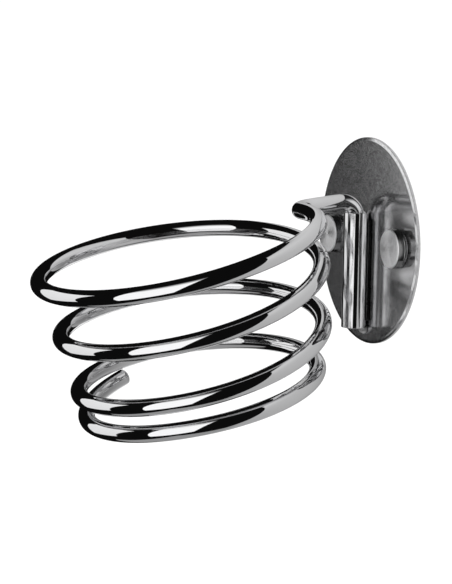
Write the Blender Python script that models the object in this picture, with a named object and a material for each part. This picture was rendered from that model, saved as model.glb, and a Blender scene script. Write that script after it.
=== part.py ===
"""Spiral hair dryer holder on a round wall plate.

Metres, +Z up. The wall is the plane Y = 0 and the holder stands out of it towards -Y. The origin is
the centre of the plate's back face.
"""

import math

import bmesh
import bpy
import numpy as np
from mathutils import Matrix, Vector

MM = 0.001
GAP = 0.3 * MM  # space left between pieces that touch

# Wall plate
PLATE_RADIUS = 50 * MM
PLATE_THICKNESS = 1.8 * MM
PLATE_BEVEL_WIDTH = 1.5 * MM  # polished bevel round the front
PLATE_BEVEL_DEPTH = 0.4 * MM
PLATE_BACK_EDGE = 0.2 * MM
FIXING_SPACING = 64 * MM  # between the two fixing holes
FIXING_HOLE_RADIUS = 3.5 * MM

# Upright socket
TUBE_RADIUS = 6 * MM
TUBE_WALL = 0.8 * MM
TUBE_TOP = 14 * MM
TUBE_BOTTOM = -42 * MM
TUBE_EDGE = 0.3 * MM
SOCKET_OUT = PLATE_THICKNESS + GAP + TUBE_RADIUS  # the tube's axis from the wall
PLUG_THICKNESS = 3.5 * MM
LINER_WALL = 0.6 * MM
WELD_END = 3 * MM  # the seams stop this far short of the tube's ends
WELD_REACH = 4.9 * MM  # how far a seam spreads on the plate, from the tube's middle
WELD_ON_TUBE = (27, 35, 44)  # degrees round the tube from the plate, where a seam meets it
TACK_WIDTH = 6 * MM
# The tack under the tube's lower end: how far out of the plate and how far down it reaches, in mm
TACK_OUTLINE = ((0, 0), (2.9, 0), (2.5, 1.3), (1.5, 2.4), (0, 3.1))

# Rod
ROD_RADIUS = 4 * MM
ARM_HEIGHT = 20 * MM
LEG_BEND = 8 * MM
CORNER_BEND = 9 * MM
LINER_TOP = ARM_HEIGHT - LEG_BEND - GAP

# Spiral
SPIRAL_CENTRE_OUT = 100.5 * MM  # from the wall
SPIRAL_TIPPED_BACK = math.radians(12.5)  # the wall side stands higher
SPIRAL_TIPPED_SIDE = math.radians(4)
SPIRAL_TURNS = 3.7
# How the rod is wound: turns from the corner, height and radius of its centre line in mm. The first
# half turn bulges, the middle turns are evenly spaced and taper, and the last turn closes up.
WINDING = (
    (0, 3.5, 59.5),
    (1 / 6, 6, 70),
    (1 / 3, 1, 69.5),
    (2 / 3, -7, 67.5),
    (1, -14.5, 65),
    (4 / 3, -27, 63),
    (5 / 3, -35.5, 62),
    (2, -43.5, 61.5),
    (7 / 3, -55, 60),
    (8 / 3, -63.5, 57.5),
    (3, -67.5, 55.5),
    (10 / 3, -69.5, 56),
    (43 / 12, -74.5, 57),
    (15 / 4, -71.5, 58),
)
SPIRAL_SAMPLES = 180  # points worked out in each turn
HEADING_STEP = math.radians(9)  # how far the rod turns from one ring of its mesh to the next
ROD_BEVEL = 4  # 12 sides round the rod

# Screw caps and what is under them. Heights are measured out of the wall.
CAP_RADIUS = 9.5 * MM
CAP_BODY_RADIUS = 9.3 * MM
CAP_FACE = 7.2 * MM
CAP_ROOF = 1 * MM
CAP_BAND = 1.4 * MM  # width of the rear band
CAP_BAND_STEP = 0.2 * MM
CAP_RECESS_RADIUS = 7.4 * MM  # room for the bush's flange
CAP_REBATE_RADIUS = 8.9 * MM  # room for the washer
CAP_EDGE = 0.5 * MM
WASHER_INNER = 7.4 * MM
WASHER_OUTER = 8.6 * MM
WASHER_THICKNESS = 0.4 * MM
FLANGE_RADIUS = 7 * MM
FLANGE_THICKNESS = 0.8 * MM
SPIGOT_RADIUS = 5.5 * MM
BUSH_BORE = 2.1 * MM
COUNTERSINK = 1.9 * MM
SCREW_RADIUS = 1.75 * MM
SCREW_LENGTH = 15 * MM
SCREW_POINT = 4 * MM
HEAD_RADIUS = 3.35 * MM
HEAD_SUNK = 0.2 * MM  # below the bush's mouth
RECESS_WIDTH = 0.9 * MM
RECESS_SPAN = 3.8 * MM
RECESS_DEPTH = 1.5 * MM

# Flat sides round each turned piece
PLATE_FACETS = 96
TUBE_FACETS = 32
CAP_FACETS = 36
BUSH_FACETS = 24
SHARP_ANGLE = math.radians(35)

WASHER_BACK = PLATE_THICKNESS + GAP
WASHER_FRONT = WASHER_BACK + WASHER_THICKNESS
CAP_BACK = PLATE_THICKNESS + GAP
FLANGE_TOP = PLATE_THICKNESS + GAP + FLANGE_THICKNESS
CAP_ROOF_UNDERSIDE = CAP_FACE - CAP_ROOF
SPIGOT_TOP = CAP_ROOF_UNDERSIDE - GAP
HEAD_TOP = SPIGOT_TOP - HEAD_SUNK
OUT_OF_WALL = Matrix.Rotation(math.radians(90), 4, "X")  # a piece's own +Z turned to -Y


def clear_scene():
    for obj in list(bpy.data.objects):
        bpy.data.objects.remove(obj, do_unlink=True)


def material(name, colour, roughness, metallic):
    made = bpy.data.materials.new(name)
    made.use_nodes = True
    shader = made.node_tree.nodes["Principled BSDF"]
    shader.inputs["Base Color"].default_value = (*colour, 1)
    shader.inputs["Roughness"].default_value = roughness
    shader.inputs["Metallic"].default_value = metallic
    return made


def satin_steel():
    return material("satin_steel", (0.30, 0.30, 0.31), 0.38, 1)


def polished_steel():
    return material("polished_steel", (0.72, 0.72, 0.73), 0.06, 1)


def chrome():
    return material("chrome", (0.78, 0.78, 0.79), 0.04, 1)


def turned_steel():
    return material("turned_steel", (0.62, 0.62, 0.63), 0.22, 1)


def weld_steel():
    return material("weld_steel", (0.45, 0.45, 0.46), 0.3, 1)


def plated_steel():
    return material("plated_steel", (0.55, 0.55, 0.5), 0.35, 1)


def nickel_brass():
    return material("nickel_brass", (0.6, 0.58, 0.54), 0.25, 1)


def grey_nylon():
    return material("grey_nylon", (0.2, 0.2, 0.21), 0.55, 0)


def black_nylon():
    return material("black_nylon", (0.03, 0.03, 0.03), 0.5, 0)


def add_object(name, data, finish, location=(0, 0, 0), turn=None):
    """Puts a named object in the scene at a location, with its turn as a matrix."""
    data.materials.append(finish)
    obj = bpy.data.objects.new(name, data)
    bpy.context.scene.collection.objects.link(obj)
    obj.matrix_world = Matrix.Translation(location) @ (turn or Matrix())
    return obj


def mesh_from(name, build):
    """A mesh whose faces point out, smooth where they meet at a shallow angle."""
    shape = bmesh.new()
    build(shape)
    bmesh.ops.recalc_face_normals(shape, faces=shape.faces)
    mesh = bpy.data.meshes.new(name)
    shape.to_mesh(mesh)
    shape.free()
    mesh.shade_smooth()
    mesh.set_sharp_from_angle(angle=SHARP_ANGLE)
    return mesh


def turned(name, profile, segments):
    """A body turned about its own Z from a closed outline of (radius, height) points."""

    def ring(shape, radius, height):
        if radius == 0:
            return [shape.verts.new((0, 0, height))] * segments
        angles = [math.tau * (step + 0.5) / segments for step in range(segments)]
        return [shape.verts.new((radius * math.cos(a), radius * math.sin(a), height)) for a in angles]

    def build(shape):
        rings = [ring(shape, radius, height) for radius, height in profile]
        for near, far in zip(rings, rings[1:] + rings[:1]):
            for step in range(segments):
                after = (step + 1) % segments
                corners = [near[step], near[after], far[after], far[step]]
                corners = list(dict.fromkeys(corners))
                if len(corners) > 2:
                    shape.faces.new(corners)

    return mesh_from(name, build)


def box(name, size):
    def build(shape):
        bmesh.ops.create_cube(shape, size=1, matrix=Matrix.Diagonal((*size, 1)))

    return mesh_from(name, build)


def extruded(name, outline, length):
    """A bar along its own Z with the given (x, y) outline."""

    def build(shape):
        face = shape.faces.new([shape.verts.new((x, y, 0)) for x, y in outline])
        pulled = bmesh.ops.extrude_face_region(shape, geom=[face])["geom"]
        moved = [item for item in pulled if isinstance(item, bmesh.types.BMVert)]
        bmesh.ops.translate(shape, verts=moved, vec=(0, 0, length))

    return mesh_from(name, build)


def cut(obj, cutter):
    """Takes the cutter's shape out of the object and keeps the cutter as a hidden helper."""
    cutter.hide_render = True
    cutter.display_type = "WIRE"
    modifier = obj.modifiers.new("cut_" + cutter.name, "BOOLEAN")
    modifier.operation = "DIFFERENCE"
    modifier.solver = "EXACT"
    modifier.object = cutter


def make_wall_plate():
    profile = [
        (0, 0),
        (PLATE_RADIUS - PLATE_BACK_EDGE, 0),
        (PLATE_RADIUS, PLATE_BACK_EDGE),
        (PLATE_RADIUS, PLATE_THICKNESS - PLATE_BEVEL_DEPTH),
        (PLATE_RADIUS - PLATE_BEVEL_WIDTH, PLATE_THICKNESS),
        (0, PLATE_THICKNESS),
    ]
    disc = turned("wall_plate", profile, PLATE_FACETS)
    plate = add_object("wall_plate", disc, satin_steel(), turn=OUT_OF_WALL)
    for side, place in fixings():
        drill = [
            (0, -PLATE_THICKNESS),
            (FIXING_HOLE_RADIUS, -PLATE_THICKNESS),
            (FIXING_HOLE_RADIUS, 2 * PLATE_THICKNESS),
            (0, 2 * PLATE_THICKNESS),
        ]
        mesh = turned("fixing_drill_" + side, drill, BUSH_FACETS)
        cut(plate, add_object("fixing_drill_" + side, mesh, satin_steel(), place, OUT_OF_WALL))


def fixings():
    """The two fixing points, as (side, place)."""
    return [("left", (-FIXING_SPACING / 2, 0, 0)), ("right", (FIXING_SPACING / 2, 0, 0))]


def make_socket_tube():
    inner = TUBE_RADIUS - TUBE_WALL
    profile = [
        (inner, TUBE_BOTTOM),
        (TUBE_RADIUS - TUBE_EDGE, TUBE_BOTTOM),
        (TUBE_RADIUS, TUBE_BOTTOM + TUBE_EDGE),
        (TUBE_RADIUS, TUBE_TOP - TUBE_EDGE),
        (TUBE_RADIUS - TUBE_EDGE, TUBE_TOP),
        (inner, TUBE_TOP),
    ]
    mesh = turned("socket_tube", profile, TUBE_FACETS)
    add_object("socket_tube", mesh, polished_steel(), (0, -SOCKET_OUT, 0))


def make_weld_seams():
    """Two thin seams in the corners between the tube and the plate."""
    foot = -(PLATE_THICKNESS + GAP)
    reach = TUBE_RADIUS + GAP
    angles = [math.radians(angle) for angle in WELD_ON_TUBE]
    on_tube = [(reach * math.sin(a), reach * math.cos(a) - SOCKET_OUT) for a in angles]
    outline = [*on_tube, (WELD_REACH, foot), (on_tube[0][0], foot)]
    length = TUBE_TOP - TUBE_BOTTOM - 2 * WELD_END
    for side, mirror in (("left", -1), ("right", 1)):
        name = "weld_seam_" + side
        mesh = extruded(name, [(mirror * x, y) for x, y in outline], length)
        add_object(name, mesh, weld_steel(), (0, 0, TUBE_BOTTOM + WELD_END))


def make_weld_tack():
    """A lump of weld in the corner between the plate and the tube's lower end."""
    foot = PLATE_THICKNESS + GAP
    top = TUBE_BOTTOM - GAP
    outline = [(down * MM - top, -foot - out * MM) for out, down in TACK_OUTLINE]
    mesh = extruded("weld_tack_lower", outline, TACK_WIDTH)
    across = Matrix.Rotation(math.radians(90), 4, "Y")  # the tack's own +Z turned to +X
    add_object("weld_tack_lower", mesh, weld_steel(), (-TACK_WIDTH / 2, 0, 0), across)


def make_bottom_plug():
    radius = TUBE_RADIUS - TUBE_WALL - GAP
    bottom = TUBE_BOTTOM + GAP
    profile = [
        (0, bottom),
        (radius - TUBE_EDGE, bottom),
        (radius, bottom + TUBE_EDGE),
        (radius, bottom + PLUG_THICKNESS),
        (0, bottom + PLUG_THICKNESS),
    ]
    mesh = turned("socket_bottom_plug", profile, TUBE_FACETS)
    add_object("socket_bottom_plug", mesh, black_nylon(), (0, -SOCKET_OUT, 0))


def leg_foot():
    """Height of the leg's lower end, just clear of the plug that it stands on."""
    return TUBE_BOTTOM + GAP + PLUG_THICKNESS + GAP


def make_swivel_liner():
    outer = TUBE_RADIUS - TUBE_WALL - GAP
    inner = outer - LINER_WALL
    profile = [(inner, leg_foot()), (outer, leg_foot()), (outer, LINER_TOP), (inner, LINER_TOP)]
    mesh = turned("swivel_liner", profile, TUBE_FACETS)
    add_object("swivel_liner", mesh, grey_nylon(), (0, -SOCKET_OUT, 0))


def smooth_through(knots, values, wanted):
    """Natural cubic spline through (knots, values), read at the wanted places."""
    gaps = np.diff(knots)
    slopes = np.diff(values) / gaps
    system = np.eye(len(knots))
    bends = np.zeros(len(knots))
    for i in range(1, len(knots) - 1):
        system[i, i - 1 : i + 2] = gaps[i - 1], 2 * (gaps[i - 1] + gaps[i]), gaps[i]
        bends[i] = 6 * (slopes[i] - slopes[i - 1])
    bends = np.linalg.solve(system, bends)
    i = np.clip(np.searchsorted(knots, wanted) - 1, 0, len(gaps) - 1)
    past = wanted - knots[i]
    slope = slopes[i] - gaps[i] * (2 * bends[i] + bends[i + 1]) / 6
    twist = (bends[i + 1] - bends[i]) / gaps[i] / 6
    return values[i] + past * (slope + past * (bends[i] / 2 + past * twist))


def spiral_points():
    """The spiral's centre line, wound clockwise as seen from above, from its corner down."""
    turns = np.arange(0, SPIRAL_TURNS, 1 / SPIRAL_SAMPLES)
    knots, heights, radii = np.array(WINDING).T
    height = smooth_through(knots, heights * MM, turns)
    radius = smooth_through(knots, radii * MM, turns)
    flat = np.stack([radius * np.sin(math.tau * turns), radius * np.cos(math.tau * turns), height], axis=1)
    tip = Matrix.Rotation(SPIRAL_TIPPED_BACK, 3, "X") @ Matrix.Rotation(SPIRAL_TIPPED_SIDE, 3, "Y")
    return flat @ np.array(tip).T + (0, -SPIRAL_CENTRE_OUT, 0)


def bend(before, corner, after, radius, steps=24):
    """Points of the arc that rounds a corner between two straight runs."""
    back = (before - corner) / np.linalg.norm(before - corner)
    ahead = (after - corner) / np.linalg.norm(after - corner)
    half = math.acos(back @ ahead) / 2
    middle = (back + ahead) / np.linalg.norm(back + ahead)
    centre = corner + middle * radius / math.sin(half)
    start = corner + back * radius / math.tan(half) - centre
    end = corner + ahead * radius / math.tan(half) - centre
    sweep = math.pi - 2 * half
    shares = np.linspace(0, 1, steps)[:, None]
    return centre + (np.sin((1 - shares) * sweep) * start + np.sin(shares * sweep) * end) / math.sin(sweep)


def rod_points():
    """The rod's centre line: leg, bend, arm, corner and spiral."""
    spiral = spiral_points()
    foot = np.array((0, -SOCKET_OUT, leg_foot()))
    shoulder = np.array((0, -SOCKET_OUT, ARM_HEIGHT))
    corner = spiral[0]
    clear = spiral[np.linalg.norm(spiral - corner, axis=1) > CORNER_BEND]
    onto_arm = bend(foot, shoulder, corner, LEG_BEND)
    onto_spiral = bend(shoulder, corner, clear[0], CORNER_BEND)
    return np.concatenate([foot[None], onto_arm, onto_spiral, clear[1:]])


def thinned(points, heading_step):
    """Leaves out points until the line has turned by the given angle."""
    headings = np.diff(points, axis=0)
    headings /= np.linalg.norm(headings, axis=1)[:, None]
    kept = [0]
    for i in range(1, len(headings)):
        if headings[i] @ headings[kept[-1]] < math.cos(heading_step):
            kept.append(i)
    return points[kept + [len(points) - 1]]


def make_spiral_rod():
    """The whole rod as one bevelled curve. Its origin is on the socket's axis, which it turns about."""
    axis = Vector((0, -SOCKET_OUT, 0))
    points = thinned(rod_points(), HEADING_STEP) - np.array(axis)
    curve = bpy.data.curves.new("spiral_rod", "CURVE")
    curve.dimensions = "3D"
    curve.bevel_depth = ROD_RADIUS
    curve.bevel_resolution = ROD_BEVEL
    curve.use_fill_caps = True
    line = curve.splines.new("POLY")
    line.points.add(len(points) - 1)
    for place, point in zip(line.points, points):
        place.co = (*point, 1)
    line.use_smooth = True
    add_object("spiral_rod", curve, chrome(), axis)


def make_screw_cap(side, place):
    """A turned cap, open at the back, that screws onto its bush. A rebate in its back holds the washer."""
    profile = [
        (CAP_REBATE_RADIUS, CAP_BACK),
        (CAP_RADIUS, CAP_BACK),
        (CAP_RADIUS, CAP_BACK + CAP_BAND),
        (CAP_BODY_RADIUS, CAP_BACK + CAP_BAND + CAP_BAND_STEP),
        (CAP_BODY_RADIUS, CAP_FACE - CAP_EDGE),
        (CAP_BODY_RADIUS - CAP_EDGE, CAP_FACE),
        (0, CAP_FACE),
        (0, CAP_ROOF_UNDERSIDE),
        (SPIGOT_RADIUS + GAP, CAP_ROOF_UNDERSIDE),
        (SPIGOT_RADIUS + GAP, FLANGE_TOP + GAP),
        (CAP_RECESS_RADIUS, FLANGE_TOP + GAP),
        (CAP_RECESS_RADIUS, WASHER_FRONT + GAP),
        (CAP_REBATE_RADIUS, WASHER_FRONT + GAP),
    ]
    name = "screw_cap_" + side
    add_object(name, turned(name, profile, CAP_FACETS), turned_steel(), place, OUT_OF_WALL)


def make_cap_washer(side, place):
    profile = [
        (WASHER_INNER, WASHER_BACK),
        (WASHER_OUTER, WASHER_BACK),
        (WASHER_OUTER, WASHER_FRONT),
        (WASHER_INNER, WASHER_FRONT),
    ]
    name = "cap_washer_" + side
    add_object(name, turned(name, profile, CAP_FACETS), black_nylon(), place, OUT_OF_WALL)


def make_cap_bush(side, place):
    """A flanged bush in the plate's hole, countersunk for the screw's head."""
    shank = FIXING_HOLE_RADIUS - GAP
    flange_back = PLATE_THICKNESS + GAP
    mouth = SPIGOT_TOP - COUNTERSINK
    profile = [
        (BUSH_BORE, GAP),
        (shank, GAP),
        (shank, flange_back),
        (FLANGE_RADIUS, flange_back),
        (FLANGE_RADIUS, FLANGE_TOP),
        (SPIGOT_RADIUS, FLANGE_TOP),
        (SPIGOT_RADIUS, SPIGOT_TOP),
        (BUSH_BORE + COUNTERSINK, SPIGOT_TOP),
        (BUSH_BORE, mouth),
    ]
    name = "cap_bush_" + side
    add_object(name, turned(name, profile, BUSH_FACETS), nickel_brass(), place, OUT_OF_WALL)


def make_wall_screw(side, place):
    """A countersunk screw with a cross recess, whose point goes into the wall."""
    point = HEAD_TOP - SCREW_LENGTH
    neck = HEAD_TOP - (HEAD_RADIUS - SCREW_RADIUS)
    profile = [
        (0, point),
        (SCREW_RADIUS, point + SCREW_POINT),
        (SCREW_RADIUS, neck),
        (HEAD_RADIUS, HEAD_TOP),
        (0, HEAD_TOP),
    ]
    name = "wall_screw_" + side
    screw = add_object(name, turned(name, profile, BUSH_FACETS), plated_steel(), place, OUT_OF_WALL)
    for index in range(2):
        blade = name + "_recess_" + str(index)
        mesh = box(blade, (RECESS_SPAN, RECESS_WIDTH, 2 * RECESS_DEPTH))
        turn = OUT_OF_WALL @ Matrix.Rotation(math.radians(90 * index), 4, "Z")
        at = Vector(place) - Vector((0, HEAD_TOP, 0))
        cut(screw, add_object(blade, mesh, plated_steel(), at, turn))


clear_scene()
make_wall_plate()
make_socket_tube()
make_weld_seams()
make_weld_tack()
make_bottom_plug()
make_swivel_liner()
make_spiral_rod()
for fixing_side, fixing_place in fixings():
    make_screw_cap(fixing_side, fixing_place)
    make_cap_washer(fixing_side, fixing_place)
    make_cap_bush(fixing_side, fixing_place)
    make_wall_screw(fixing_side, fixing_place)
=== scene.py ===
"""Looks of the spiral hair dryer holder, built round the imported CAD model.

Metres, +Z up. The wall is the plane Y = 0, and the holder stands out of it towards -Y. Each CAD node is
replaced by a finer mesh of the same piece, which rides on the same body.
"""

import math

import bmesh
import bpy
import numpy as np
from mathutils import Matrix, Vector


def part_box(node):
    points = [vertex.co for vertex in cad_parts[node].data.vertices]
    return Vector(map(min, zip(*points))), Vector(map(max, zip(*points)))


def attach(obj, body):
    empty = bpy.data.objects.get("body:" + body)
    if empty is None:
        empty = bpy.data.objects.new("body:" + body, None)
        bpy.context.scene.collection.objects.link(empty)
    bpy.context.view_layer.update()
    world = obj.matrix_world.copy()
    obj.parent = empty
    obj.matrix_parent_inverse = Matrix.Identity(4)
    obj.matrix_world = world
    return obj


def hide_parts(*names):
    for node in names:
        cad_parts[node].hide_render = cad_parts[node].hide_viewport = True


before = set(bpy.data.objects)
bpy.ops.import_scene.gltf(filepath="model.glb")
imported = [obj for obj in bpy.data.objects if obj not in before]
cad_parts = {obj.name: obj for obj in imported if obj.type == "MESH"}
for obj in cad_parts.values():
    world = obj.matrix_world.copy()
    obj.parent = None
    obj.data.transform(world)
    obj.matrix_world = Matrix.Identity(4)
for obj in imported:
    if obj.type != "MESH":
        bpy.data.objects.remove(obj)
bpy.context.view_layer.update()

MM = 0.001
OUT_OF_WALL = Matrix.Rotation(math.radians(90), 4, "X")  # a piece's own +Z turned to -Y

# The rod's centre line, as the CAD has it
ROD_RADIUS = 4 * MM
ARM_HEIGHT = 20 * MM
LEG_FOOT = -37.9 * MM
LEG_BEND = 8 * MM
CORNER_BEND = 9 * MM
SPIRAL_CENTRE_OUT = 100.5 * MM
SPIRAL_TIPPED_BACK = math.radians(12.5)
SPIRAL_TIPPED_SIDE = math.radians(4)
SPIRAL_TURNS = 3.7
# Turns from the corner, height and radius in mm
WINDING = (
    (0, 3.5, 59.5),
    (1 / 6, 6, 70),
    (1 / 3, 1, 69.5),
    (2 / 3, -7, 67.5),
    (1, -14.5, 65),
    (4 / 3, -27, 63),
    (5 / 3, -35.5, 62),
    (2, -43.5, 61.5),
    (7 / 3, -55, 60),
    (8 / 3, -63.5, 57.5),
    (3, -67.5, 55.5),
    (10 / 3, -69.5, 56),
    (43 / 12, -74.5, 57),
    (15 / 4, -71.5, 58),
)
SPIRAL_SAMPLES = 720
ROD_SIDES = 48
ROD_HEADING_STEP = math.radians(2)
ROD_LONGEST_STEP = 4 * MM
ROD_END_ROUND = 0.5 * MM

# Socket and plate
TUBE_WALL = 0.8 * MM
LINER_WALL = 0.6 * MM
PLATE_BEVEL_WIDTH = 1.5 * MM
PLATE_BEVEL_DEPTH = 0.4 * MM
FIXING_HOLE_RADIUS = 3.5 * MM

# Welds
WELD_GAP = 0.25 * MM  # between a seam and the tube
WELD_ON_TUBE_FROM = 27  # degrees round the tube from the plate
WELD_ON_TUBE_SPAN = 17
WELD_BEAD = 2.2 * MM
WELD_CROWN = 0.12 * MM
WELD_ROWS = 260
WELD_STEPS = 9
TACK_ROWS = 25

# Camera
CAMERA_PLACE = (1.03474, -0.55323, 0.14218)
CAMERA_BACK = (0.89897, -0.41417, 0.14256)
CAMERA_UP = (-0.13691, 0.04346, 0.98963)
CAMERA_LENS = 150.04

# Studio. A softbox's corners are azimuth and elevation in degrees, seen from the coil's middle
COIL_MIDDLE_OUT = 0.095
SOFTBOX_RIGHT_CORNERS = ((16, -32), (60, -31), (63, 50), (7, 50))
SOFTBOX_RIGHT_AWAY = 0.85
SOFTBOX_LEFT_CORNERS = ((-58, -24), (-22, -25), (-17, 30), (-69, 28))
SOFTBOX_LEFT_AWAY = 1.25
BOARD_BACK = 0.6 * MM
BOARD_LEFT = -0.14
BOARD_RIGHT = 0.215
BOARD_BOTTOM = -0.6
BOARD_TOP = 0.2
CARD_CORNERS = ((-0.14, -0.34), (-0.25, -0.34), (-0.27, -0.09), (-0.14, -0.1))
TABLE_HALF = 0.15
FLOOR_HEIGHT = -0.3
FLOOR_HALF = 40
SQUARE = ((-1, -1), (1, -1), (1, 1), (-1, 1))

SHARP_EDGE = 35  # degrees between faces from which an edge stays sharp


# ---------------------------------------------------------------- meshes


def mesh_piece(name, points, faces, place=None, sharp=SHARP_EDGE):
    """A smooth-shaded object from points and faces, whose faces point out."""
    shape = bmesh.new()
    corners = [shape.verts.new(point) for point in points]
    for face in faces:
        shape.faces.new([corners[i] for i in face])
    bmesh.ops.recalc_face_normals(shape, faces=shape.faces)
    mesh = bpy.data.meshes.new(name)
    shape.to_mesh(mesh)
    shape.free()
    mesh.shade_smooth()
    mesh.set_sharp_from_angle(angle=math.radians(sharp))
    piece = bpy.data.objects.new(name, mesh)
    bpy.context.scene.collection.objects.link(piece)
    piece.matrix_world = place or Matrix()
    return piece


def dress(piece, finish, slot, body, *nodes):
    """Gives a piece its material and puts it on a body in place of its CAD nodes. The slot is not used."""
    piece.data.materials.append(finish)
    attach(piece, body)
    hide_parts(*nodes)
    return piece


def rounded(corners, steps=5):
    """A closed outline of (x, y, fillet radius) corners with each corner rounded."""
    outline = []
    for i, (x, y, radius) in enumerate(corners):
        here = np.array((x, y))
        before = np.array(corners[i - 1][:2]) - here
        after = np.array(corners[(i + 1) % len(corners)][:2]) - here
        before = before / np.linalg.norm(before)
        after = after / np.linalg.norm(after)
        half = math.acos(np.clip(before @ after, -1, 1)) / 2
        if radius == 0 or math.sin(half) > 0.999:
            outline.append(tuple(here))
            continue
        middle = (before + after) / np.linalg.norm(before + after)
        centre = here + middle * radius / math.sin(half)
        start = here + before * radius / math.tan(half) - centre
        end = here + after * radius / math.tan(half) - centre
        sweep = math.pi - 2 * half
        for share in np.linspace(0, 1, steps):
            arm = (math.sin((1 - share) * sweep) * start + math.sin(share * sweep) * end) / math.sin(sweep)
            outline.append(tuple(centre + arm))
    return outline


def lathe(name, outline, segments, place, shaped=None):
    """A body turned about its own Z from a closed (radius, height) outline. Shaped may move each point."""
    points, rows = [], []
    for radius, height in outline:
        on_axis = abs(radius) < 1e-9
        row = []
        for step in range(1 if on_axis else segments):
            angle = math.tau * (step + 0.5) / segments
            r, z = (radius, height) if shaped is None or on_axis else shaped(radius, height, angle)
            row.append(len(points))
            points.append((r * math.cos(angle), r * math.sin(angle), z))
        rows.append(row * segments if on_axis else row)
    faces = []
    for near, far in zip(rows, rows[1:] + rows[:1]):
        for step in range(segments):
            after = (step + 1) % segments
            face = list(dict.fromkeys((near[step], near[after], far[after], far[step])))
            if len(face) > 2:
                faces.append(face)
    return mesh_piece(name, points, faces, place)


def ring_wall(bore, outer, bottom, top, soft):
    """Outline of a plain ring's wall, with its four edges rounded."""
    return rounded([(bore, bottom, soft), (outer, bottom, soft), (outer, top, soft), (bore, top, soft)])


def skin(rows, around):
    """Faces of a solid whose points are rows of closed rings, with both ends closed."""
    faces = []
    for row in range(rows - 1):
        near, far = row * around, (row + 1) * around
        for step in range(around):
            after = (step + 1) % around
            faces.append((near + step, near + after, far + after, far + step))
    faces.append(tuple(range(around))[::-1])
    faces.append(tuple(range((rows - 1) * around, rows * around)))
    return faces


def cut(piece, cutter):
    """Takes a cutter out of a piece, applies the cut and removes the cutter."""
    bpy.context.view_layer.update()
    modifier = piece.modifiers.new(cutter.name, "BOOLEAN")
    modifier.operation = "DIFFERENCE"
    modifier.solver = "EXACT"
    modifier.object = cutter
    graph = bpy.context.evaluated_depsgraph_get()
    mesh = bpy.data.meshes.new_from_object(piece.evaluated_get(graph))
    piece.modifiers.clear()
    piece.data = mesh
    mesh.shade_smooth()
    mesh.set_sharp_from_angle(angle=math.radians(SHARP_EDGE))
    bpy.data.objects.remove(cutter, do_unlink=True)


# ---------------------------------------------------------------- materials


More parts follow.
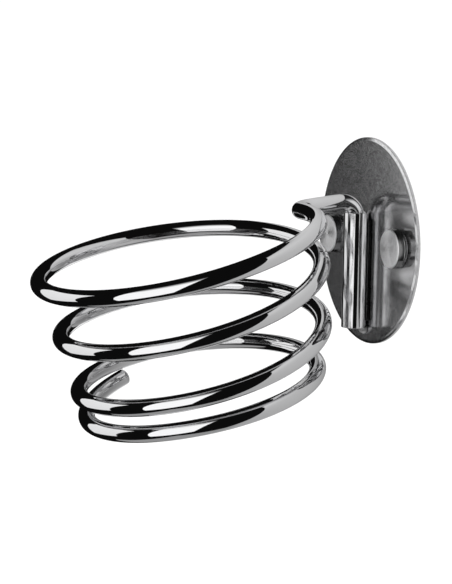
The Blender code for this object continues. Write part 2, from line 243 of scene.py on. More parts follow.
class Finish:
    """A Principled material with helpers that add its procedural detail."""

    def __init__(self, name, colour, roughness, metallic):
        self.material = bpy.data.materials.new(name)
        self.material.use_nodes = True
        self.nodes = self.material.node_tree.nodes
        self.links = self.material.node_tree.links
        self.shader = self.nodes["Principled BSDF"]
        self.shader.inputs["Base Color"].default_value = (*colour, 1)
        self.shader.inputs["Roughness"].default_value = roughness
        self.shader.inputs["Metallic"].default_value = metallic
        self.last_bump = None

    def add(self, kind, **settings):
        """A new node with some of its properties set."""
        node = self.nodes.new(kind)
        for key, value in settings.items():
            setattr(node, key, value)
        return node

    def coordinates(self, stretch=(1, 1, 1), attribute=None):
        """Object coordinates, or a named vector attribute, stretched by a factor along each axis."""
        mapping = self.add("ShaderNodeMapping")
        mapping.inputs["Scale"].default_value = stretch
        if attribute:
            source = self.add("ShaderNodeAttribute", attribute_name=attribute).outputs["Vector"]
        else:
            source = self.add("ShaderNodeTexCoord").outputs["Object"]
        self.links.new(source, mapping.inputs["Vector"])
        return mapping.outputs["Vector"]

    def noise(self, per_metre, detail=3, roughness=0.55, stretch=(1, 1, 1), attribute=None):
        """Noise of a scale per metre, as a value about 0.5."""
        texture = self.add("ShaderNodeTexNoise")
        texture.inputs["Scale"].default_value = per_metre
        texture.inputs["Detail"].default_value = detail
        texture.inputs["Roughness"].default_value = roughness
        self.links.new(self.coordinates(stretch, attribute), texture.inputs["Vector"])
        return texture.outputs["Fac"]

    def spread(self, source, low, high, out_low, out_high):
        """Maps a value from low..high to out_low..out_high."""
        node = self.add("ShaderNodeMapRange")
        limits = {"From Min": low, "From Max": high, "To Min": out_low, "To Max": out_high}
        for key, value in limits.items():
            node.inputs[key].default_value = value
        self.links.new(source, node.inputs["Value"])
        return node.outputs["Result"]

    def vary(self, noise, out_low, out_high, low=0.3, high=0.7):
        """Maps the middle part of a noise, where most of it lies, to out_low..out_high."""
        return self.spread(noise, low, high, out_low, out_high)

    def combine(self, operation, first, second):
        """Two values added or multiplied."""
        node = self.add("ShaderNodeMath", operation=operation)
        self.links.new(first, node.inputs[0])
        self.links.new(second, node.inputs[1])
        return node.outputs["Value"]

    def part_of(self, axis):
        """Distance along one of the piece's own axes, or, for the axis R, from its centre."""
        if axis == "R":
            length = self.add("ShaderNodeVectorMath", operation="LENGTH")
            self.links.new(self.coordinates(), length.inputs[0])
            return length.outputs["Value"]
        split = self.add("ShaderNodeSeparateXYZ")
        self.links.new(self.coordinates(), split.inputs[0])
        return split.outputs[axis]

    def rough(self, source):
        """Roughness driven by a value."""
        self.links.new(source, self.shader.inputs["Roughness"])

    def brushed_round(self, anisotropic):
        """Smears reflections as marks that run round the piece's own Z do."""
        self.shader.inputs["Anisotropic"].default_value = anisotropic
        tangent = self.add("ShaderNodeTangent", direction_type="RADIAL", axis="Z")
        self.links.new(tangent.outputs["Tangent"], self.shader.inputs["Tangent"])

    def tint(self, source, dark, light):
        """Base colour between a dark and a light tone, by a value."""
        mix = self.add("ShaderNodeMix", data_type="RGBA")
        mix.inputs["A"].default_value = (*dark, 1)
        mix.inputs["B"].default_value = (*light, 1)
        self.links.new(source, mix.inputs["Factor"])
        self.links.new(mix.outputs["Result"], self.shader.inputs["Base Color"])

    def bump(self, source, height, strength=1.0):
        """Raises the surface by up to a height where the value is 1. Bumps add up."""
        node = self.add("ShaderNodeBump")
        node.inputs["Distance"].default_value = height
        node.inputs["Strength"].default_value = strength
        self.links.new(source, node.inputs["Height"])
        if self.last_bump:
            self.links.new(self.last_bump, node.inputs["Normal"])
        self.last_bump = node.outputs["Normal"]
        self.links.new(self.last_bump, self.shader.inputs["Normal"])


def grey(value):
    """A steel grey, very slightly blue."""
    return (value, value, value * 1.01)


def chrome(name, attribute=None):
    """Mirror chrome plate: slight waviness, lengthwise polishing lines and a few duller patches."""
    finish = Finish(name, grey(0.9), 0.03, 1)
    lines = finish.noise(2500, detail=2, roughness=0.5, stretch=(0.02, 1, 1), attribute=attribute)
    finish.bump(lines, 0.0008 * MM)
    waves = finish.noise(90, detail=1, roughness=0.4)
    finish.bump(waves, 0.02 * MM)
    patches = finish.noise(45, detail=4, roughness=0.6)
    finish.rough(finish.vary(patches, 0.015, 0.055, 0.35, 0.75))
    finish.tint(patches, grey(0.93), grey(0.87))
    return finish.material


def satin_plate(bevel_start):
    """Satin stainless sheet: a fine even grain and a little haze, and a brighter and smoother bevel."""
    finish = Finish("satin_sheet", grey(0.6), 0.12, 1)
    from_centre = finish.part_of("R")
    edges = (bevel_start - 0.1 * MM, bevel_start + 0.1 * MM)
    on_bevel = finish.spread(from_centre, *edges, 0, 1)
    on_face = finish.spread(from_centre, *edges, 1, 0)
    grain = finish.noise(800, detail=4, roughness=0.75)
    clouds = finish.noise(38, detail=3, roughness=0.6)
    grain_tone = finish.vary(grain, 0, 1)
    tone = finish.combine("MULTIPLY", grain_tone, finish.vary(clouds, 0.85, 1.1))
    finish.tint(finish.combine("ADD", tone, on_bevel), grey(0.52), grey(0.97))
    satin = finish.vary(grain, 0.12, 0.165)
    finish.rough(finish.combine("MULTIPLY", satin, finish.spread(from_centre, *edges, 1, 0.9)))
    bumps = finish.noise(1600, detail=3, roughness=0.6)
    finish.bump(finish.combine("MULTIPLY", bumps, on_face), 0.003 * MM)

    haze = finish.add("ShaderNodeBsdfPrincipled")
    haze.inputs["Base Color"].default_value = (0.58, 0.58, 0.59, 1)
    haze.inputs["Metallic"].default_value = 1
    haze.inputs["Roughness"].default_value = 0.4
    blend = finish.add("ShaderNodeMixShader")
    more_on_bevel = finish.spread(from_centre, *edges, 1, 1.2)
    share = finish.combine("MULTIPLY", finish.vary(grain, 0.07, 0.37), more_on_bevel)
    finish.links.new(share, blend.inputs["Fac"])
    finish.links.new(finish.shader.outputs[0], blend.inputs[1])
    finish.links.new(haze.outputs[0], blend.inputs[2])
    finish.links.new(blend.outputs[0], finish.nodes["Material Output"].inputs["Surface"])
    return finish.material


def polished_tube():
    """Polished tube: fine marks round it smear a reflection up and down and keep it clear across."""
    finish = Finish("socket_mirror_polish", grey(0.9), 0.17, 1)
    finish.brushed_round(0.93)
    finish.shader.inputs["Anisotropic Rotation"].default_value = 0.25
    marks = finish.noise(2200, detail=3, roughness=0.6, stretch=(0.15, 0.15, 1))
    finish.rough(finish.vary(marks, 0.09, 0.14))
    waves = finish.noise(110, detail=2, roughness=0.5, stretch=(1, 1, 0.3))
    finish.bump(waves, 0.008 * MM)
    finish.tint(finish.noise(60, detail=3, roughness=0.6), grey(0.86), grey(0.93))
    return finish.material


def turned_metal(face):
    """A cap's steel: a satin face whose fine rings spread a highlight into a fan, and polished sides
    darkened by painted shade.
    """
    finish = Finish("turned_metal", grey(0.8), 0.3, 1)
    finish.brushed_round(0.9)
    out = finish.part_of("Z")
    edges = (face - 0.6 * MM, face - 0.5 * MM)
    on_face = finish.spread(out, *edges, 0, 1)
    finish.links.new(finish.spread(out, *edges, 0.25, 0), finish.shader.inputs["Anisotropic Rotation"])
    rings = finish.add("ShaderNodeTexWave", wave_type="RINGS", rings_direction="Z", wave_profile="SIN")
    rings.inputs["Scale"].default_value = 900
    rings.inputs["Distortion"].default_value = 1.5
    rings.inputs["Detail"].default_value = 2
    finish.links.new(finish.coordinates(), rings.inputs["Vector"])
    finish.bump(finish.combine("MULTIPLY", rings.outputs["Fac"], on_face), 0.0012 * MM)
    wear = finish.noise(600, detail=3, roughness=0.6)
    satin = finish.vary(wear, 0.33, 0.4)
    finish.rough(finish.combine("MULTIPLY", satin, finish.spread(out, *edges, 0.35, 1)))
    worn = finish.vary(wear, 0.8, 1)
    # Painted shade: the sides take a far darker tone (0.42) than the face, though both are the same steel.
    finish.tint(finish.combine("MULTIPLY", worn, on_face), grey(0.42), grey(0.97))
    finish.links.new(finish.spread(out, *edges, 1, 0.85), finish.shader.inputs["Metallic"])
    return finish.material


def weld_metal(name, dark, light, roughness):
    """Polished weld, blotched between a dark and a light tone and slightly uneven."""
    finish = Finish(name, grey(light), roughness, 1)
    blotches = finish.noise(500, detail=3, roughness=0.5)
    finish.tint(finish.vary(blotches, 0, 1, 0.35, 0.65), grey(dark), grey(light))
    finish.rough(finish.vary(blotches, roughness * 1.2, roughness * 0.8))
    finish.bump(blotches, 0.004 * MM)
    return finish.material


def plated(name, light, dark, roughness):
    """Plated small parts: mottled plating with a few dull spots."""
    finish = Finish(name, light, roughness, 1)
    mottle = finish.noise(900, detail=4, roughness=0.65)
    finish.tint(finish.vary(mottle, 0, 1, 0.35, 0.65), dark, light)
    finish.rough(finish.vary(mottle, roughness * 0.8, roughness * 1.3))
    finish.bump(mottle, 0.004 * MM)
    return finish.material


def nylon(name, light, dark):
    """Moulded nylon: a fine eggshell texture with slight flow shading."""
    finish = Finish(name, light, 0.5, 0)
    flow = finish.noise(160, detail=3, roughness=0.6)
    finish.tint(finish.vary(flow, 0, 1), dark, light)
    grain = finish.noise(4000, detail=2, roughness=0.5)
    finish.bump(grain, 0.008 * MM)
    finish.rough(finish.vary(grain, 0.42, 0.6))
    return finish.material


# ---------------------------------------------------------------- rod


def smooth_through(knots, values, wanted):
    """Natural cubic spline through (knots, values), read at the wanted places."""
    gaps = np.diff(knots)
    slopes = np.diff(values) / gaps
    system = np.eye(len(knots))
    bends = np.zeros(len(knots))
    for i in range(1, len(knots) - 1):
        system[i, i - 1 : i + 2] = gaps[i - 1], 2 * (gaps[i - 1] + gaps[i]), gaps[i]
        bends[i] = 6 * (slopes[i] - slopes[i - 1])
    bends = np.linalg.solve(system, bends)
    i = np.clip(np.searchsorted(knots, wanted) - 1, 0, len(gaps) - 1)
    past = wanted - knots[i]
    slope = slopes[i] - gaps[i] * (2 * bends[i] + bends[i + 1]) / 6
    twist = (bends[i + 1] - bends[i]) / gaps[i]
    return values[i] + past * (slope + past * (bends[i] / 2 + past * twist / 6))


def spiral_points():
    """The spiral's centre line, from its stations of turn, height and radius, tipped and put in place."""
    turns = np.arange(0, SPIRAL_TURNS, 1 / SPIRAL_SAMPLES)
    knots, heights, radii = np.array(WINDING).T
    height = smooth_through(knots, heights * MM, turns)
    radius = smooth_through(knots, radii * MM, turns)
    flat = np.stack([radius * np.sin(math.tau * turns), radius * np.cos(math.tau * turns), height], axis=1)
    tip = Matrix.Rotation(SPIRAL_TIPPED_BACK, 3, "X") @ Matrix.Rotation(SPIRAL_TIPPED_SIDE, 3, "Y")
    return flat @ np.array(tip).T + (0, -SPIRAL_CENTRE_OUT, 0)


def bend(before, corner, after, radius, steps=48):
    """Points of the arc that rounds a corner between two straight runs."""
    back = (before - corner) / np.linalg.norm(before - corner)
    ahead = (after - corner) / np.linalg.norm(after - corner)
    half = math.acos(back @ ahead) / 2
    middle = (back + ahead) / np.linalg.norm(back + ahead)
    centre = corner + middle * radius / math.sin(half)
    start = corner + back * radius / math.tan(half) - centre
    end = corner + ahead * radius / math.tan(half) - centre
    sweep = math.pi - 2 * half
    shares = np.linspace(0, 1, steps)[:, None]
    return centre + (np.sin((1 - shares) * sweep) * start + np.sin(shares * sweep) * end) / math.sin(sweep)


def rod_line(socket_axis):
    """The rod's centre line: leg, bend, arm, corner and spiral, with its sharp joints eased."""
    spiral = spiral_points()
    foot = np.array((*socket_axis, LEG_FOOT))
    shoulder = np.array((*socket_axis, ARM_HEIGHT))
    corner = spiral[0]
    clear = spiral[np.linalg.norm(spiral - corner, axis=1) > CORNER_BEND]
    onto_arm = bend(foot, shoulder, corner, LEG_BEND)
    onto_spiral = bend(shoulder, corner, clear[0], CORNER_BEND)
    line = np.concatenate([foot[None], onto_arm, onto_spiral, clear[1:]])
    return eased(evenly(line, 0.5 * MM), 8)


def evenly(line, step):
    """The same line with its points an even step apart."""
    lengths = np.concatenate([[0], np.cumsum(np.linalg.norm(np.diff(line, axis=0), axis=1))])
    wanted = np.linspace(0, lengths[-1], int(lengths[-1] / step))
    return np.stack([np.interp(wanted, lengths, line[:, axis]) for axis in range(3)], axis=1)


def eased(line, rounds):
    """Softens a line's joints by averaging each point with its neighbours."""
    for _ in range(rounds):
        line[1:-1] = (line[:-2] + 2 * line[1:-1] + line[2:]) / 4
    return line


def thinned(line, heading_step, longest):
    """Leaves out points until the line has turned by an angle or run for a length."""
    headings = np.diff(line, axis=0)
    headings /= np.linalg.norm(headings, axis=1)[:, None]
    kept = [0]
    for i in range(1, len(headings)):
        turned = headings[i] @ headings[kept[-1]] < math.cos(heading_step)
        if turned or np.linalg.norm(line[i] - line[kept[-1]]) > longest:
            kept.append(i)
    return line[kept + [len(line) - 1]]


def make_rod(body, socket_axis):
    """The rod as one skin of rings along its line, with a rounded edge at each cut end."""
    line = thinned(rod_line(socket_axis), ROD_HEADING_STEP, ROD_LONGEST_STEP)
    along = np.gradient(line, axis=0)
    along /= np.linalg.norm(along, axis=1)[:, None]
    across = np.zeros_like(along)
    across[0] = (1, 0, 0)
    for i in range(1, len(line)):
        across[i] = across[i - 1] - (across[i - 1] @ along[i]) * along[i]
        across[i] /= np.linalg.norm(across[i])
    other = np.cross(along, across)
    run = np.concatenate([[0], np.cumsum(np.linalg.norm(np.diff(line, axis=0), axis=1))])
    points, coordinates = [], []

    def ring(i, radius, shift=0):
        """One ring of points round a station of the line, moved along it by a shift."""
        for step in range(ROD_SIDES):
            angle = math.tau * step / ROD_SIDES
            arm = radius * (math.cos(angle) * across[i] + math.sin(angle) * other[i])
            points.append(tuple(line[i] + shift * along[i] + arm))
            coordinates.append((run[i], radius * math.cos(angle), radius * math.sin(angle)))

    # The rounded edge, from the cut face to the full radius, as radius and depth
    edge = []
    for angle in np.linspace(0, math.pi / 2, 5):
        inset, depth = 1 - math.sin(angle), 1 - math.cos(angle)
        edge.append((ROD_RADIUS - inset * ROD_END_ROUND, depth * ROD_END_ROUND))
    for radius, depth in edge:
        ring(0, radius, depth)
    for i in range(1, len(line) - 1):
        if 2 * ROD_END_ROUND < run[i] < run[-1] - 2 * ROD_END_ROUND:
            ring(i, ROD_RADIUS)
    for radius, depth in reversed(edge):
        ring(-1, radius, -depth)

    faces = skin(len(points) // ROD_SIDES, ROD_SIDES)
    rod = mesh_piece("coil_rod", points, faces, sharp=50)
    attribute = rod.data.attributes.new("along_rod", "FLOAT_VECTOR", "POINT")
    attribute.data.foreach_set("vector", np.array(coordinates, np.float32).ravel())
    return dress(rod, chrome("rod_chrome_plate", "along_rod"), "rod_chrome", body, "spiral_rod")


# ---------------------------------------------------------------- socket


def make_socket(low, high, axis):
    """The upright tube, with its edges just broken."""
    radius = (high.x - low.x) / 2
    outline = ring_wall(radius - TUBE_WALL, radius, low.z, high.z, 0.25 * MM)
    tube = lathe("socket_tube_polished", outline, 128, Matrix.Translation((*axis, 0)))
    dress(tube, polished_tube(), "polished_steel", "wall_base", "socket_tube")


def make_liner(axis):
    """The plastic sleeve inside the tube."""
    low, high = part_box("swivel_liner")
    outer = (high.x - low.x) / 2
    outline = ring_wall(outer - LINER_WALL, outer, low.z, high.z, 0.15 * MM)
    liner = lathe("swivel_liner_moulded", outline, 96, Matrix.Translation((*axis, 0)))
    finish = nylon("grey_nylon_moulded", (0.24, 0.24, 0.25), (0.18, 0.18, 0.19))
    dress(liner, finish, "grey_nylon", "swivel_sleeve", "swivel_liner")


def make_plug(axis, finish):
    """Push-in plug with a dished underside."""
    low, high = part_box("socket_bottom_plug")
    radius = (high.x - low.x) / 2
    dish = 0.5 * MM
    outline = rounded(
        [
            (0, low.z + dish, 0),
            (0.6 * radius, low.z + dish, 0.3 * MM),
            (0.72 * radius, low.z, 0.2 * MM),
            (radius, low.z, 0.35 * MM),
            (radius, high.z, 0.3 * MM),
            (0, high.z, 0),
        ]
    )
    plug = lathe("socket_plug_moulded", outline, 96, Matrix.Translation((*axis, 0)))
    dress(plug, finish, "black_nylon", "wall_base", "socket_bottom_plug")


def make_weld(side, finish):
    """A fillet of overlapping beads, in the corner between the tube and the plate."""
    low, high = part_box("weld_seam_" + side)
    mirror = -1 if side == "left" else 1
    tube_low, tube_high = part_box("socket_tube")
    axis_y = (tube_low.y + tube_high.y) / 2
    reach = (tube_high.x - tube_low.x) / 2 + WELD_GAP
    foot = high.y
    wide = max(abs(low.x), abs(high.x))
    start = math.radians(WELD_ON_TUBE_FROM)
    points = []
    for share in np.linspace(0, 1, WELD_ROWS):
        z = low.z + share * (high.z - low.z)
        swell = 0.95 + 0.05 * math.sin(math.pi * (z - low.z) / WELD_BEAD) ** 2
        size = swell * min(1.0, math.sqrt(max(0.0, 1 - (2 * share - 1) ** 16)) + 0.15)
        end = math.radians(WELD_ON_TUBE_FROM + WELD_ON_TUBE_SPAN * size)
        for angle in np.linspace(start, end, WELD_STEPS):
            points.append((mirror * reach * math.sin(angle), axis_y + reach * math.cos(angle), z))
        toe = reach * math.sin(start) + (wide - reach * math.sin(start)) * size
        tip_x, tip_y = reach * math.sin(end), axis_y + reach * math.cos(end)
        for part in np.linspace(0, 1, WELD_STEPS)[1:]:
            crown = 0.7 * WELD_CROWN * swell * math.sin(math.pi * part)
            x = tip_x + (toe - tip_x) * part + crown
            y = tip_y + (foot - tip_y) * part - crown
            points.append((mirror * x, y, z))
        points.append((mirror * reach * math.sin(start), foot, z))
    seam = mesh_piece("weld_bead_" + side, points, skin(WELD_ROWS, 2 * WELD_STEPS))
    dress(seam, finish, "weld_steel", "wall_base", "weld_seam_" + side)


def make_tack(finish):
    """A rounded lump of weld under the tube's lower end, which thins out to both sides."""
    low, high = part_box("weld_tack_lower")
    middle, half = (low.x + high.x) / 2, (high.x - low.x) / 2
    out, down = high.y - low.y, high.z - low.z
    # The corner between plate and tube, then an arc from under the tube down to the plate
    section = [(0, 0)]
    for angle in np.linspace(0, math.pi / 2, 9):
        section.append((out * math.cos(angle), down * math.sin(angle)))
    points = []
    for across in np.linspace(-1, 1, TACK_ROWS):
        plump = math.sqrt(max(0.0, 1 - abs(across) ** 2.6)) * 0.97 + 0.03
        size = plump * (1 + 0.05 * math.sin(9 * across) - 0.04 * math.sin(23 * across))
        for forward, drop in section:
            points.append((middle + across * half, high.y - forward * size, high.z - drop * size))
    tack = mesh_piece("weld_lump_lower", points, skin(TACK_ROWS, len(section)))
    dress(tack, finish, "weld_steel", "wall_base", "weld_tack_lower")


# ---------------------------------------------------------------- wall plate and fixings


def make_plate():
    """The round plate with its polished bevel and two fixing holes."""
    low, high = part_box("wall_plate")
    radius = (high.x - low.x) / 2
    thick = high.y - low.y
    bevel_start = radius - PLATE_BEVEL_WIDTH
    outline = rounded(
        [
            (0, 0, 0),
            (radius, 0, 0.2 * MM),
            (radius, thick - PLATE_BEVEL_DEPTH, 0.25 * MM),
            (bevel_start, thick, 1.2 * MM),
            (0, thick, 0),
        ],
        steps=8,
    )
    plate = lathe("wall_disc", outline, 256, OUT_OF_WALL)
    drill = [(0, -thick), (FIXING_HOLE_RADIUS, -thick), (FIXING_HOLE_RADIUS, 2 * thick), (0, 2 * thick)]
    for side in ("left", "right"):
        cut(plate, lathe("hole_" + side, drill, 96, Matrix.Translation(fixing(side)) @ OUT_OF_WALL))
    dress(plate, satin_plate(bevel_start), "satin_steel", "wall_base", "wall_plate")


def fixing(side):
    """Where a fixing's axis meets the wall."""
    low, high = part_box("screw_cap_" + side)
    return Vector(((low.x + high.x) / 2, 0, (low.z + high.z) / 2))


def make_cap(side, finish):
    """A turned cap: knurled rear band, broken front edge, a centre mark on its face, hollow behind."""
    low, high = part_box("screw_cap_" + side)
    radius = (high.x - low.x) / 2
    front, back = -low.y, -high.y
    knurl_depth = 0.2 * MM
    body = radius - knurl_depth
    front_edge = 0.4 * MM
    band = back + 1.4 * MM
    rebate = 8.9 * MM
    rebate_roof = back + 0.7 * MM
    recess = 7.4 * MM
    spigot = 5.8 * MM
    roof = front - 1 * MM
    ledge = 3.2 * MM
    mark = 0.7 * MM
    mark_depth = 0.3 * MM
    outline = rounded(
        [
            (rebate, back, 0.05 * MM),
            (radius, back, 0.12 * MM),
            (radius, band, 0.12 * MM),
            (body, band + 0.15 * MM, 0.1 * MM),
            (body, front - front_edge, 0.15 * MM),
            (body - front_edge, front, 0.12 * MM),
            (mark, front, 0.05 * MM),
            (0, front - mark_depth, 0),
            (0, roof, 0),
            (spigot, roof, 0.2 * MM),
            (spigot, ledge, 0.1 * MM),
            (recess, ledge, 0),
            (recess, rebate_roof, 0),
            (rebate, rebate_roof, 0.05 * MM),
        ]
    )
    teeth = 48

    def knurl(r, z, angle):
        on_band = back - 0.01 * MM < z < band and r > body
        groove = abs((angle * teeth / math.tau) % 1 - 0.5) * 2
        return (r - knurl_depth * groove**1.5 if on_band else r), z

    place = Matrix.Translation(fixing(side)) @ OUT_OF_WALL
    cap = lathe("cap_turned_" + side, outline, teeth * 8, place, knurl)
    dress(cap, finish, "turned_steel", "cap_" + side, "screw_cap_" + side)


def make_washer(side, finish):
    """The thin washer in the rebate behind a cap."""
    low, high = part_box("cap_washer_" + side)
    outer = (high.x - low.x) / 2
    outline = ring_wall(outer - 1.2 * MM, outer, -high.y, -low.y, 0.12 * MM)
    washer = lathe("washer_moulded_" + side, outline, 96, Matrix.Translation(fixing(side)) @ OUT_OF_WALL)
    dress(washer, finish, "black_nylon", "washer_" + side, "cap_washer_" + side)


def stations(start, end, step):
    """Heights from start to end at an even spacing near the step."""
    return list(np.linspace(start, end, max(2, int(abs(end - start) / step) + 1)))


def make_bush(side, finish):
    """A flanged bush whose spigot carries the cap's thread."""
    low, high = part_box("cap_bush_" + side)
    back, top = -high.y, -low.y
    shank = 3.2 * MM
    flange = (high.x - low.x) / 2
    flange_back, flange_top = 2.1 * MM, 2.9 * MM
    flange_edge = 0.1 * MM
    spigot = 5.5 * MM
    bore = 2.1 * MM
    sink = 1.9 * MM
    pitch = 1 * MM
    thread_depth = 0.35 * MM
    threads = [(spigot, z) for z in stations(flange_top + 0.05 * MM, top - 0.05 * MM, 0.08 * MM)]
    outline = [
        (bore, back),
        (shank, back),
        (shank, flange_back),
        (flange - flange_edge, flange_back),
        (flange, flange_back + flange_edge),
        (flange, flange_top - flange_edge),
        (flange - flange_edge, flange_top),
        (spigot, flange_top),
        *threads,
        (spigot - 0.1 * MM, top),
        (bore + sink, top),
        (bore, top - sink),
    ]

    def thread(r, z, angle):
        if abs(r - spigot) > 1e-7 or not flange_top < z < top:
            return r, z
        phase = (z / pitch - angle / math.tau) % 1
        return r - thread_depth * abs(2 * phase - 1), z

    place = Matrix.Translation(fixing(side)) @ OUT_OF_WALL
    bush = lathe("bush_threaded_" + side, outline, 96, place, thread)
    dress(bush, finish, "nickel_brass", "wall_base", "cap_bush_" + side)


def make_screw(side, finish):
    """A countersunk wood screw with a coarse thread and a cross recess."""
    low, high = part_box("wall_screw_" + side)
    tip, top = -high.y, -low.y
    shank = 1.75 * MM
    head = 3.35 * MM
    neck = top - (head - shank)
    pitch = 1.6 * MM
    depth = 0.6 * MM
    point_length = 4 * MM
    heights = stations(tip + 0.05 * MM, neck, 0.1 * MM)

    def core(z):
        return shank * min(1.0, max(0.02, (z - tip) / point_length))

    outline = [(0, tip), *[(core(z), z) for z in heights], (head, top - 0.1 * MM), (head, top), (0, top)]

    def thread(r, z, angle):
        if z >= neck - 0.4 * MM:
            return r, z
        phase = (z / pitch - angle / math.tau) % 1
        valley = min(1.0, abs(2 * phase - 1) * 1.6)
        return max(0.05 * MM, r - depth * valley * min(1.0, r / shank)), z

    place = Matrix.Translation(fixing(side)) @ OUT_OF_WALL
    screw = lathe("screw_threaded_" + side, outline, 64, place, thread)
    for index in range(2):
        blade_place = place @ Matrix.Rotation(math.radians(90 * index), 4, "Z")
        cut(screw, recess_blade(top, 3.8 * MM, 0.8 * MM, 1.5 * MM, blade_place))
    dress(screw, finish, "screw_steel", "wall_base", "wall_screw_" + side)


def recess_blade(top, span, width, depth, place):
    """A cutter for one tapered blade of the cross recess in the top of a screw's head."""
    points = []
    for z, share in ((top + depth, 1.9), (top, 1.0), (top - depth, 0.3)):
        for x, y in SQUARE:
            points.append((x * span / 2 * min(share, 1.2), y * width / 2, z))
    return mesh_piece("recess_blade", points, skin(3, len(SQUARE)), place)


# ---------------------------------------------------------------- studio


def emitter(name, strength):
    """An emitting material, and its nodes, links and emission node."""
    made = bpy.data.materials.new(name)
    made.use_nodes = True
    nodes, links = made.node_tree.nodes, made.node_tree.links
    nodes.clear()
    light = nodes.new("ShaderNodeEmission")
    light.inputs["Strength"].default_value = strength
    output = nodes.new("ShaderNodeOutputMaterial")
    links.new(light.outputs[0], output.inputs["Surface"])
    return made, nodes, links, light


def glow(name, strength, fade=None):
    """A glowing material. Fade lists (height share, brightness) stops from the bottom to the top."""
    made, nodes, links, light = emitter(name, strength)
    if fade:
        place = nodes.new("ShaderNodeUVMap")
        split = nodes.new("ShaderNodeSeparateXYZ")
        ramp = nodes.new("ShaderNodeValToRGB")
        fill_ramp(ramp.color_ramp, fade)
        links.new(place.outputs[0], split.inputs[0])
        links.new(split.outputs["Y"], ramp.inputs[0])
        links.new(ramp.outputs["Color"], light.inputs["Color"])
    return made


def sheet(name, corners, finish):
    """A flat four-sided object."""
    mesh = bpy.data.meshes.new(name)
    mesh.from_pydata(corners, [], [(0, 1, 2, 3)])
    mesh.materials.append(finish)
    made = bpy.data.objects.new(name, mesh)
    bpy.context.scene.collection.objects.link(made)
    return made


def panel(name, corners, finish, lights=True):
    """A four-sided studio panel that shows only in reflections and, if it lights, on matt surfaces."""
    made = sheet(name, corners, finish)
    layer = made.data.uv_layers.new(name="UVMap")
    for loop, place in zip(layer.data, ((0, 0), (1, 0), (1, 1), (0, 1))):
        loop.uv = place
    made.visible_camera = False
    made.visible_shadow = False
    made.visible_diffuse = lights


def seen_at(azimuth, elevation, distance):
    """A point in a direction from the coil's middle. Azimuth 0 is -Y, 90 is +X."""
    a, e = math.radians(azimuth), math.radians(elevation)
    flat = distance * math.cos(e)
    low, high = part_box("spiral_rod")
    middle = Vector((0, -COIL_MIDDLE_OUT, (low.z + high.z) / 2))
    return middle + Vector((flat * math.sin(a), -flat * math.cos(a), distance * math.sin(e)))


def make_studio():
    """Two softboxes in front, the board that the plate is fixed to, glowing with painted light and a
    painted shadow, a card glowing with painted light and a grey table.
    """
    key = [seen_at(a, e, SOFTBOX_RIGHT_AWAY) for a, e in SOFTBOX_RIGHT_CORNERS]
    key_fade = ((0, 1), (0.72, 1), (0.86, 0.4), (1, 0.02))
    panel("softbox_right", key, glow("softbox_right_cloth", 1.04, key_fade))
    fill = [seen_at(a, e, SOFTBOX_LEFT_AWAY) for a, e in SOFTBOX_LEFT_CORNERS]
    panel("softbox_left", fill, glow("softbox_left_cloth", 0.84, ((0, 0.93), (1, 1.03))))
    sides = (
        (BOARD_RIGHT, BOARD_BACK, BOARD_BOTTOM),
        (BOARD_LEFT, BOARD_BACK, BOARD_BOTTOM),
        (BOARD_LEFT, BOARD_BACK, BOARD_TOP),
        (BOARD_RIGHT, BOARD_BACK, BOARD_TOP),
    )
    # The board is no lamp: it glows with painted light and a painted shadow, and lights nothing.
    panel("mounting_board", sides, painted_light_on_board(), lights=False)
    card = [(x, BOARD_BACK, z) for x, z in CARD_CORNERS]
    # Painted light: the card is no lamp, but glows brighter towards its top in place of a lit card.
    panel("white_card", card, glow("white_card_painted_light", 0.95, ((0, 0.35), (0.5, 0.6), (1, 1))), lights=False)
    table = [(x * TABLE_HALF, y * TABLE_HALF - COIL_MIDDLE_OUT, FLOOR_HEIGHT) for x, y in SQUARE]
    panel("grey_table", table, glow("table_top", 0.3), lights=False)


def painted_light_on_board():
    """A light grey board that glows with painted light, brightest near its top, with a painted shadow of
    the object beside it.
    """
    made, nodes, links, light = emitter("board_with_painted_light_and_shadow", 1)
    place = nodes.new("ShaderNodeTexCoord")
    split = nodes.new("ShaderNodeSeparateXYZ")
    links.new(place.outputs["Object"], split.inputs[0])
    height = nodes.new("ShaderNodeMapRange")
    height.inputs["From Min"].default_value = BOARD_BOTTOM
    height.inputs["From Max"].default_value = BOARD_TOP
    links.new(split.outputs["Z"], height.inputs["Value"])
    # Painted light: the board glows brighter towards its top, where the softboxes would light it.
    painted_light_by_height = nodes.new("ShaderNodeValToRGB")
    fill_ramp(painted_light_by_height.color_ramp, ((0, 0.28), (0.5, 0.4), (0.75, 0.5), (0.88, 0.62), (0.95, 0.58), (1, 0.45)))
    links.new(height.outputs["Result"], painted_light_by_height.inputs[0])
    # Painted shadow: a darker round spot beside the object stands in for its shadow on the board.
    shade = nodes.new("ShaderNodeMapping")
    shade.inputs["Location"].default_value = (0.5, 0, 0.35)
    shade.inputs["Scale"].default_value = (7.5, 0, 7)
    painted_shadow_spot = nodes.new("ShaderNodeTexGradient")
    painted_shadow_spot.gradient_type = "SPHERICAL"
    links.new(place.outputs["Object"], shade.inputs["Vector"])
    links.new(shade.outputs["Vector"], painted_shadow_spot.inputs["Vector"])
    painted_shadow_ramp = nodes.new("ShaderNodeValToRGB")
    painted_shadow_ramp.color_ramp.interpolation = "EASE"
    fill_ramp(painted_shadow_ramp.color_ramp, ((0, 1), (1, 0.4)))
    links.new(painted_shadow_spot.outputs["Fac"], painted_shadow_ramp.inputs[0])
    both = nodes.new("ShaderNodeMix")
    both.data_type = "RGBA"
    both.blend_type = "MULTIPLY"
    both.inputs["Factor"].default_value = 1
    links.new(painted_light_by_height.outputs["Color"], both.inputs["A"])
    links.new(painted_shadow_ramp.outputs["Color"], both.inputs["B"])
    links.new(both.outputs["Result"], light.inputs["Color"])
    return made


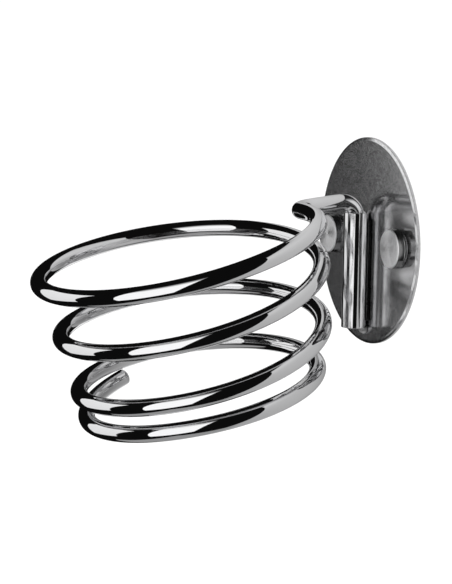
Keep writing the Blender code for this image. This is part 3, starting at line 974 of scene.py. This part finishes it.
def fill_ramp(ramp, stops):
    """Grey stops of a colour ramp, as (place, value)."""
    for index, (share, value) in enumerate(stops):
        stop = ramp.elements[index] if index < 2 else ramp.elements.new(share)
        stop.position = share
        stop.color = (value, value, value, 1)


def make_floor():
    """A pale matt floor well under the object, which the mirrors don't show."""
    finish = Finish("pale_floor", (0.93, 0.93, 0.93), 0.6, 0)
    finish.shader.inputs["Specular IOR Level"].default_value = 0.1
    finish.tint(finish.noise(3, detail=4, roughness=0.6), (0.92, 0.92, 0.92), (0.95, 0.95, 0.95))
    corners = [(x * FLOOR_HALF, y * FLOOR_HALF, FLOOR_HEIGHT - MM) for x, y in SQUARE]
    floor = sheet("studio_floor", corners, finish.material)
    floor.visible_glossy = False


def make_world():
    """White surroundings for the floor and the background, and a dark room for the mirrors to show."""
    world = bpy.data.worlds.new("studio")
    world.use_nodes = True
    nodes, links = world.node_tree.nodes, world.node_tree.links
    room = nodes["Background"]
    room.inputs["Color"].default_value = (0.004, 0.004, 0.004, 1)
    white = nodes.new("ShaderNodeBackground")
    white.inputs["Color"].default_value = (1, 1, 1, 1)
    white.inputs["Strength"].default_value = 1.3
    rays = nodes.new("ShaderNodeLightPath")
    mix = nodes.new("ShaderNodeMixShader")
    links.new(rays.outputs["Is Glossy Ray"], mix.inputs["Fac"])
    links.new(white.outputs[0], mix.inputs[1])
    links.new(room.outputs[0], mix.inputs[2])
    links.new(mix.outputs[0], nodes["World Output"].inputs["Surface"])
    bpy.context.scene.world = world


def make_camera():
    """The camera, at the photographed viewing angle."""
    data = bpy.data.cameras.new("photo_view")
    data.lens = CAMERA_LENS
    data.clip_start = 0.01
    data.clip_end = 200
    camera = bpy.data.objects.new("photo_view", data)
    bpy.context.scene.collection.objects.link(camera)
    up, back = Vector(CAMERA_UP), Vector(CAMERA_BACK)
    turn = Matrix((up.cross(back), up, back)).transposed().to_4x4()
    camera.matrix_world = Matrix.Translation(CAMERA_PLACE) @ turn
    bpy.context.scene.camera = camera


# ---------------------------------------------------------------- build

bpy.context.scene.view_settings.view_transform = "Standard"
make_camera()
make_world()
make_studio()
make_floor()

tube_low, tube_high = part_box("socket_tube")
tube_axis = ((tube_low.x + tube_high.x) / 2, (tube_low.y + tube_high.y) / 2)
black_nylon = nylon("black_nylon_moulded", (0.045, 0.045, 0.045), (0.02, 0.02, 0.02))
turned_steel = turned_metal(-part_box("screw_cap_left")[0].y)
nickel = plated("nickel_plate", (0.66, 0.63, 0.58), (0.48, 0.45, 0.4), 0.22)
zinc = plated("zinc_plate", (0.62, 0.62, 0.56), (0.42, 0.42, 0.38), 0.34)
# Painted shade and painted light: the same weld steel is near black on the seams and light on the tack.
seam_weld_painted_shade = weld_metal("weld_seam_painted_shade", 0.04, 0.09, 0.25)
tack_weld_painted_light = weld_metal("weld_tack_painted_light", 0.75, 0.95, 0.45)

make_plate()
make_socket(tube_low, tube_high, tube_axis)
make_liner(tube_axis)
make_plug(tube_axis, black_nylon)
make_tack(tack_weld_painted_light)
make_rod("spiral", tube_axis)
for which in ("left", "right"):
    make_weld(which, seam_weld_painted_shade)
    make_cap(which, turned_steel)
    make_washer(which, black_nylon)
    make_bush(which, nickel)
    make_screw(which, zinc)
